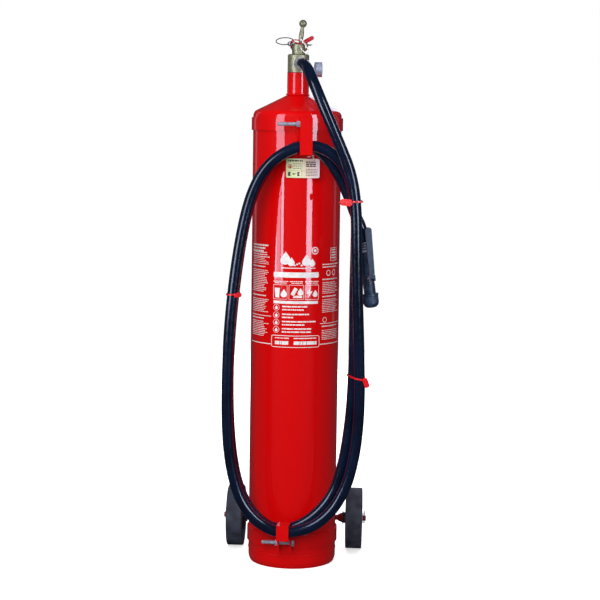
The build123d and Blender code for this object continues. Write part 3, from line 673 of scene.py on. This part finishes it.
def make_seal():
    thread = curve_piece("seal_cord", THREAD_ROUTE, THREAD_D, "cylinder", "thread")
    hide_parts("seal_thread")
    knots = [
        knot("seal_cord_knot_top", THREAD_ROUTE[0], 0.0058, 4, "cylinder", "thread"),
        knot("seal_cord_knot_low", THREAD_ROUTE[-1], 0.0050, 5, "cylinder", "thread"),
    ]
    strap = curve_piece("seal_loop", SEAL_ROUTE, 0.0026, "cylinder", "red_plastic", "seal_plastic")
    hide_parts("seal_strap")
    low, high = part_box("seal_tag")
    centre = (Vector(low) + Vector(high)) / 2
    place = facing(centre + Vector((0, 0.0013, 0)), (0.875, 0, 0.485), (0, -1, 0))
    # its plate, a raised panel on it, and the lock at the strap's end
    bm = bmesh.new()
    slab(bm, rounded(0.0265, 0.0096, 0.0047), 0.0026, place)
    slab(bm, rounded(0.0185, 0.0052, 0.0024), 0.0006, place @ Matrix.Translation((0.0012, 0, 0.0026)))
    slab(bm, rounded(0.0040, 0.0072, 0.0010), 0.0034, place @ Matrix.Translation((-0.0105, 0, 0)))
    tag = mesh_piece("seal_head", bm, "cylinder", "red_plastic", "seal_plastic", bevel=0.0009)
    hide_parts("seal_tag")


make_seal()


# ---------------------------------------------------------------- hose ties
def strap_loop(bm, z, centres, clearance, height, thickness, tilt=0.0):
    """A flat band drawn round the strands: the outline is the hull of the strands' circles."""
    circle = []
    for x, y in centres:
        for k in range(72):
            a = 2 * math.pi * k / 72
            reach = HOSE_D / 2 + clearance
            circle.append(Vector((x + reach * math.cos(a), y + reach * math.sin(a), 0)))
    flat = bmesh.new()
    made = [flat.verts.new(p) for p in circle]
    hull = bmesh.ops.convex_hull(flat, input=made)
    outline = sorted({v.co.to_tuple(6) for v in flat.verts if v in set(hull["geom"])})
    flat.free()
    middle = sum((Vector(p) for p in outline), Vector()) / len(outline)
    outline.sort(key=lambda p: math.atan2(p[1] - middle.y, p[0] - middle.x))
    outline = [Vector(p) for p in outline]
    rings = []
    for k, p in enumerate(outline):
        along = (outline[(k + 1) % len(outline)] - outline[k - 1]).normalized()
        out = Vector((along.y, -along.x, 0))
        lift = (p.x - middle.x) * math.tan(tilt)
        profile = []
        for o, h in ((0, -1), (1, -0.8), (1, 0.8), (0, 1)):
            profile.append(bm.verts.new(p + out * thickness * o + Vector((0, 0, z + lift + h * height / 2))))
        rings.append(profile)
    for a, b in zip(rings, rings[1:] + rings[:1]):
        for k in range(4):
            bm.faces.new((a[k - 1], a[k], b[k], b[k - 1]))


def make_tie(name, z, centres, tilt, tag_place, tag_size):
    """A locking strap with its head and an oval tag, all in thin red plastic."""
    bm = bmesh.new()
    strap_loop(bm, z, centres, 0.0008, 0.0042, 0.0013, tilt)
    strap = mesh_piece(name + "_strap", bm, "cylinder", "red_plastic", bevel=0.0002)
    bm = bmesh.new()
    width, height = tag_size
    corner = min(width, height) * 0.42
    slab(bm, rounded(width, height, corner), 0.0022, tag_place)
    raised = tag_place @ Matrix.Translation((width * 0.04, 0, 0.0022))
    slab(bm, rounded(width * 0.78, height * 0.55, corner * 0.5), 0.0007, raised)
    head = tag_place @ Matrix.Translation((-width * 0.42, 0, 0.0003))
    slab(bm, rounded(0.006, 0.0058, 0.001), 0.0045, head)
    tag = mesh_piece(name + "_tag", bm, "cylinder", "red_plastic", bevel=0.0005)
    return [strap, tag]


# Each tie: its name, the node it stands for, its height, the strands in it, its tilt,
# and its tag's place and size.
TIES = (
    (
        "tie_upper",
        "hose_tie_upper",
        0.850,
        [(0.143, -0.1725), (0.1385, -0.144), (0.1285, -0.118)],
        0.0,
        facing((0.121, -0.1835, 0.848), (1, 0, -0.06), (-0.1, -1, 0.1)),
        (0.028, 0.015),
    ),
    (
        "tie_left",
        "hose_tie_left",
        0.637,
        [(-0.1315, -0.144), (-0.1313, -0.118)],
        0.1,
        facing((-0.118, -0.152, 0.636), (1, 0.2, 0.3), (0.2, -1, 0)),
        (0.015, 0.011),
    ),
    (
        "tie_lower",
        "hose_tie_lower",
        0.455,
        [(0.1555, -0.153), (0.1413, -0.1285)],
        -0.15,
        facing((0.1705, -0.166, 0.447), (0.35, 0, -1), (0.1, -1, 0)),
        (0.023, 0.012),
    ),
)
tie_pieces = []
for stem, node, z, strands, tilt, tag_place, tag_size in TIES:
    strap, tag = make_tie(stem, z, strands, tilt, tag_place, tag_size)
    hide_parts(node)
    tie_pieces += [strap, tag]


# ---------------------------------------------------------------- printing
class Ink:
    """Flat printed shapes, drawn in (across, up) metres and laid on a surface when finished."""

    def __init__(self):
        self.bm = bmesh.new()

    def shape(self, points):
        self.bm.faces.new([self.bm.verts.new((u, z, 0)) for u, z in points])

    def bar(self, u0, u1, z0, z1):
        self.shape([(u0, z0), (u1, z0), (u1, z1), (u0, z1)])

    def outline(self, outer, inner):
        """A closed line between two outlines with the same number of points."""
        a = [self.bm.verts.new((*p, 0)) for p in outer]
        b = [self.bm.verts.new((*p, 0)) for p in inner]
        for k in range(len(a)):
            self.bm.faces.new((a[k - 1], a[k], b[k], b[k - 1]))

    def frame(self, u0, u1, z0, z1, line, corner):
        u, z = (u0 + u1) / 2, (z0 + z1) / 2
        outer = rounded(u1 - u0, z1 - z0, corner, 4)
        inner = rounded(u1 - u0 - 2 * line, z1 - z0 - 2 * line, max(corner - line, 0.0001), 4)
        self.outline([(u + a, z + b) for a, b in outer], [(u + a, z + b) for a, b in inner])

    def ring(self, u, z, radius, line):
        turns = [2 * math.pi * k / 32 for k in range(32)]
        outer = [(u + radius * math.cos(a), z + radius * math.sin(a)) for a in turns]
        inner = [(u + (radius - line) * math.cos(a), z + (radius - line) * math.sin(a)) for a in turns]
        self.outline(outer, inner)

    def disc(self, u, z, radius):
        turns = [2 * math.pi * k / 24 for k in range(24)]
        self.shape([(u + radius * math.cos(a), z + radius * math.sin(a)) for a in turns])

    def words(self, rng, u0, u1, z, height, longest=0.009):
        """A line of short bars that stands for small print."""
        u = u0
        while u < u1 - 0.001:
            end = min(u + rng.uniform(0.0022, longest), u1)
            self.bar(u, end, z, z + height)
            u = end + rng.uniform(0.0008, 0.0013)

    def finish(self, name, place, body, surface, cuts=None):
        bmesh.ops.triangulate(self.bm, faces=self.bm.faces)
        for u in cuts or ():
            geometry = self.bm.verts[:] + self.bm.edges[:] + self.bm.faces[:]
            bmesh.ops.bisect_plane(self.bm, geom=geometry, plane_co=(u, 0, 0), plane_no=(1, 0, 0))
        for vert in self.bm.verts:
            vert.co = place(vert.co.x, vert.co.y)
        mesh = bpy.data.meshes.new(name)
        self.bm.to_mesh(mesh)
        self.bm.free()
        obj = bpy.data.objects.new(name, mesh)
        thick = obj.modifiers.new("film", "SOLIDIFY")
        thick.thickness, thick.offset = 0.00008, 0
        slot = "card" if body == "inspection_card" else "red_paint"
        return add_piece(obj, body, slot, surface)


LABEL_ANGLE = math.radians(4.65)


def on_shell(u, z):
    """The label's across distance is measured along the shell from the label's middle."""
    r = SHELL_R + 0.00014
    a = LABEL_ANGLE + u / SHELL_R
    return Vector((r * math.sin(a), -r * math.cos(a), z))


def flame(ink, u, z, size):
    """A plain flame: a teardrop with a side tongue."""
    outline = [
        (0, -0.5), (0.26, -0.44), (0.4, -0.2), (0.36, 0.05), (0.22, 0.24), (0.2, 0.05), (0.1, 0.22),
        (0.04, 0.5), (-0.1, 0.3), (-0.24, 0.12), (-0.36, -0.1), (-0.36, -0.3), (-0.2, -0.46),
    ]
    ink.shape([(u + a * size, z + b * size) for a, b in outline])


def label_emblem(ink):
    """A plain spray and flame motif above the name bar."""
    flames = ((-0.026, 0.716, 0.03), (-0.012, 0.708, 0.02), (0.022, 0.712, 0.026), (0.036, 0.706, 0.018))
    for u, z, size in flames:
        flame(ink, u, z, size)
    for k in range(5):
        u = -0.004 + 0.0052 * k
        ink.disc(u, 0.700 + 0.0022 * (k % 3), 0.0021)
    ink.ring(0.043, 0.733, 0.0085, 0.0022)
    ink.disc(0.043, 0.733, 0.0035)
    ink.bar(-0.036, 0.044, 0.6925, 0.6945)


def label_centre(ink, rng):
    """The emblem, the name bar, three pictures, four lines of steps, and a framed line at the foot."""
    label_emblem(ink)
    end, point = 0.0525, 0.0535
    ink.shape([(-end, 0.672), (end, 0.672), (point, 0.678), (end, 0.684), (-end, 0.684), (-point, 0.678)])
    for u0, u1 in ((-0.053, -0.018), (-0.0145, 0.0165), (0.02, 0.0525)):
        ink.words(rng, u0, u1, 0.6622, 0.0018)
        ink.words(rng, u0 + 0.004, u1 - 0.002, 0.6588, 0.0014)
    for k in range(3):
        u0 = -0.0535 + 0.0368 * k
        ink.frame(u0, u0 + 0.0335, 0.6222, 0.6556, 0.0008, 0.0012)
    # a bin and a flame, a tilted can over a pool, and a bolt beside a flame
    ink.shape([(-0.0505, 0.648), (-0.0375, 0.648), (-0.0392, 0.6262), (-0.0482, 0.6262)])
    flame(ink, -0.0285, 0.6365, 0.019)
    ink.shape([(-0.0125, 0.6345), (-0.0035, 0.6500), (0.0035, 0.6462), (-0.0050, 0.6300)])
    ink.shape([(-0.0070, 0.6262), (0.0130, 0.6262), (0.0142, 0.6300), (0.0030, 0.6318), (-0.0060, 0.6300)])
    flame(ink, 0.0095, 0.6400, 0.017)
    bolt = [(0.0235, 0.6360), (0.0330, 0.6510), (0.0315, 0.6400)]
    bolt += [(0.0385, 0.6412), (0.0270, 0.6262), (0.0295, 0.6365)]
    ink.shape(bolt)
    flame(ink, 0.0445, 0.6360, 0.016)
    ink.bar(-0.053, 0.052, 0.6125, 0.6189)
    rows = (0.6037, 0.5862, 0.5695, 0.5531)
    reaches = ((0.026, 0.018), (0.031, -0.006), (0.047, 0.02), (0.036, 0.036))
    for z, reach in zip(rows, reaches):
        ink.ring(-0.0455, z, 0.0074, 0.0007)
        flame(ink, -0.0455, z, 0.009)
        ink.words(rng, -0.0315, reach[0], z + 0.0010, 0.0030, 0.014)
        ink.words(rng, -0.0315, reach[1], z - 0.0062, 0.0030, 0.014)
    ink.frame(-0.0575, 0.0575, 0.5128, 0.5404, 0.0014, 0.005)
    ink.words(rng, -0.048, -0.014, 0.5330, 0.0022, 0.012)
    ink.words(rng, -0.004, 0.049, 0.5330, 0.0022, 0.012)
    ink.words(rng, -0.048, -0.016, 0.5195, 0.0078, 0.016)
    ink.words(rng, -0.004, 0.050, 0.5195, 0.0078, 0.018)


def label_side(ink, rng, u0, u1, blocks):
    """A column of small print: each block is a top, a bottom, and the pitch and height of its lines."""
    for top, bottom, pitch, height in blocks:
        z = top
        while z > bottom:
            reach = rng.uniform(0.72, 1.0)
            ink.words(rng, u0, u0 + (u1 - u0) * reach, z - height, height, 0.008)
            z -= pitch


def shell_print():
    """All of the label's print, as one thin film on the shell."""
    rng = random.Random(7)
    ink = Ink()
    label_centre(ink, rng)
    left = [
        (0.744, 0.730, 0.0066, 0.0034),
        (0.727, 0.716, 0.0050, 0.0020),
        (0.713, 0.700, 0.0040, 0.0012),
        (0.695, 0.690, 0.0060, 0.0026),
        (0.686, 0.634, 0.0040, 0.0015),
        (0.629, 0.624, 0.0060, 0.0026),
        (0.620, 0.588, 0.0040, 0.0015),
        (0.577, 0.573, 0.0060, 0.0026),
        (0.569, 0.533, 0.0040, 0.0015),
    ]
    label_side(ink, rng, -0.128, -0.064, left)
    right = [
        (0.702, 0.694, 0.0060, 0.0024),
        (0.668, 0.664, 0.0060, 0.0026),
        (0.660, 0.634, 0.0040, 0.0014),
        (0.629, 0.625, 0.0060, 0.0026),
        (0.621, 0.590, 0.0040, 0.0014),
        (0.561, 0.556, 0.0060, 0.0026),
        (0.551, 0.527, 0.0040, 0.0014),
    ]
    label_side(ink, rng, 0.064, 0.128, right)
    ink.frame(0.088, 0.114, 0.708, 0.738, 0.0012, 0.0015)
    for k in range(4):
        ink.bar(0.092, 0.110, 0.7135 + 0.006 * k, 0.7165 + 0.006 * k)
    ink.ring(0.082, 0.681, 0.0068, 0.0016)
    ink.ring(0.102, 0.681, 0.0068, 0.0016)
    ink.ring(0.072, 0.5745, 0.0062, 0.0014)
    for side, rule_z in ((-1, 0.5815), (1, 0.5655)):
        ends = sorted((side * 0.059, side * 0.132))
        ink.bar(*ends, 0.5180, 0.5200)
        ink.bar(*ends, rule_z, rule_z + 0.0013)
    cuts = [0.004 * k for k in range(-34, 35)]
    ink.finish("shell_print", on_shell, "cylinder", "white_ink", cuts)


shell_print()


CARD_CENTRE = Vector((0.0195, -0.10516, 0.9185))


def card_print():
    """Plain bars, boxes and two small marks on the hanging card."""
    rng = random.Random(3)

    def on_card(u, z):
        return CARD_CENTRE + Vector((u, 0, z))

    ink = Ink()
    ink.words(rng, -0.030, 0.000, 0.0150, 0.0032, 0.010)
    for k in range(4):
        ink.words(rng, -0.022, -0.004, 0.0105 - 0.0040 * k, 0.0012, 0.005)
    for k in range(3):
        ink.words(rng, 0.007, 0.029, 0.0125 - 0.0045 * k, 0.0028, 0.008)
    for k in range(5):
        ink.words(rng, 0.007, 0.033, -0.0030 - 0.0034 * k, 0.0013, 0.006)
    ink.bar(-0.0345, 0.0345, -0.0060, -0.0056)
    ink.bar(-0.0022, -0.0016, -0.0185, 0.0130)
    for left, right, notch in ((-0.0330, -0.0265, -0.0285), (-0.0120, -0.0060, -0.0090)):
        ink.shape([(left, -0.0175), (right, -0.0175), (notch, -0.0130), (right, -0.0085), (left, -0.0085)])
    ink.finish("card_print_dark", on_card, "inspection_card", "needle_paint")
    ink = Ink()
    ink.ring(-0.0285, 0.0040, 0.0052, 0.0014)
    flame(ink, -0.0285, 0.0040, 0.0070)
    ink.bar(-0.0240, -0.0140, -0.0130, -0.0118)
    ink.finish("card_print_red", on_card, "inspection_card", "red_ink")
    ink = Ink()
    ink.bar(-0.0340, -0.0315, 0.0150, 0.0182)
    ink.disc(-0.0200, -0.0130, 0.0024)
    ink.finish("card_print_green", on_card, "inspection_card", "green_ink")


card_print()


# ---------------------------------------------------------------- stage and light
SUN_STRENGTH = 0.75
AMBIENT_STRENGTH = 0.3
REFLECTED_STRENGTH = 0.05
FLOOR_GLOW = 0.6
GLOSS_COLOUR = (0.80, 0.90, 1.12)
# Each box: name, azimuth, distance, low and high edge, width, radiance, the height it aims at
# (None is its own), and whether it lights the gloss or the matt colour.
BOXES = (
    ("left_panel", -40, 2.6, 0.85, 2.6, 1.0, 6.0, None, "gloss"),
    ("left_low_outer", -50, 2.6, 0.40, 0.85, 0.30, 12.0, None, "gloss"),
    ("left_low_middle", -42, 2.6, 0.40, 0.85, 0.45, 6.0, None, "gloss"),
    ("left_low_inner", -32, 2.6, 0.40, 0.85, 0.30, 11.0, None, "gloss"),
    ("right_panel", 47, 2.6, 0.85, 2.6, 0.60, 11.0, None, "gloss"),
    ("right_low_panel", 37, 2.6, 0.35, 0.85, 0.65, 11.0, None, "gloss"),
    ("rim_left", -128, 2.6, 0.2, 2.4, 0.5, 0.4, None, "gloss"),
    ("rim_right", 122, 2.6, 0.2, 2.4, 0.5, 0.3, None, "gloss"),
    ("front_fill", -9, 2.6, 0.7, 2.9, 1.6, 6.8, 0.6, "matt"),
    ("back_fill", 180, 3.0, 0.4, 2.8, 3.0, 4.0, 0.7, "matt"),
    ("back_strip", 172, 2.8, 0.4, 2.6, 0.5, 2.0, None, "gloss"),
)


def make_floor():
    """A wide, plain, pale disc just below the wheels."""
    bm = bmesh.new()
    lathe(bm, [(18.0, -0.02), (18.0, -0.0002)], segments=96)
    mesh = bpy.data.meshes.new("floor")
    bm.to_mesh(mesh)
    bm.free()
    floor = bpy.data.objects.new("floor", mesh)
    bpy.context.scene.collection.objects.link(floor)
    pale = bpy.data.materials.new("floor")
    pale.use_nodes = True
    shader = pale.node_tree.nodes["Principled BSDF"]
    shader.inputs["Base Color"].default_value = (0.9, 0.9, 0.9, 1)
    shader.inputs["Roughness"].default_value = 0.9
    shader.inputs["Emission Color"].default_value = (1, 1, 1, 1)
    shader.inputs["Emission Strength"].default_value = FLOOR_GLOW
    mesh.materials.append(pale)
    floor.visible_glossy = False
    floor.visible_diffuse = False


def softbox(name, azimuth, distance, low, high, width, radiance, aim_height, lights):
    """An upright area light that faces the cylinder's axis. Azimuth 0 is the front.

    It lights only the gloss or only the matt colour.
    """
    tall = high - low
    data = bpy.data.lights.new(name, "AREA")
    data.shape, data.size, data.size_y = "RECTANGLE", width, tall
    data.energy = radiance * math.pi * width * tall
    if lights == "gloss":
        data.color = GLOSS_COLOUR
    light = bpy.data.objects.new(name, data)
    bpy.context.scene.collection.objects.link(light)
    light.visible_diffuse = lights == "matt"
    light.visible_glossy = lights == "gloss"
    a = math.radians(azimuth)
    light.location = (distance * math.sin(a), -distance * math.cos(a), (low + high) / 2)
    aim = Vector((0, 0, light.location.z if aim_height is None else aim_height)) - light.location
    light.rotation_euler = aim.to_track_quat("-Z", "Y").to_euler()


def make_sun():
    """Soft light from straight above, which leaves the upright walls to the boxes."""
    data = bpy.data.lights.new("overhead", "SUN")
    data.energy, data.angle = SUN_STRENGTH, math.radians(50)
    light = bpy.data.objects.new("overhead", data)
    light.visible_glossy = False
    bpy.context.scene.collection.objects.link(light)


def make_world():
    """White behind the object, grey for the light it gives, and darker still in what the surfaces reflect."""
    world = bpy.data.worlds.new("studio")
    bpy.context.scene.world = world
    world.use_nodes = True
    nodes, links = world.node_tree.nodes, world.node_tree.links
    ray = nodes.new("ShaderNodeLightPath")

    def background(colour, strength):
        node = nodes.new("ShaderNodeBackground")
        node.inputs["Color"].default_value = (*colour, 1)
        node.inputs["Strength"].default_value = strength
        return node.outputs["Background"]

    def choose(fact, no, yes):
        mix = nodes.new("ShaderNodeMixShader")
        links.new(fact, mix.inputs["Fac"])
        links.new(no, mix.inputs[1])
        links.new(yes, mix.inputs[2])
        return mix.outputs["Shader"]

    ambient = background((0.96, 0.96, 1), AMBIENT_STRENGTH)
    reflected = background((0.75, 0.8, 1), REFLECTED_STRENGTH)
    seen = choose(ray.outputs["Is Glossy Ray"], ambient, reflected)
    seen = choose(ray.outputs["Is Camera Ray"], seen, background((1, 1, 1), 1))
    links.new(seen, nodes["World Output"].inputs["Surface"])


make_floor()
make_world()
make_sun()
for box in BOXES:
    softbox(*box)

bpy.context.view_layer.update()
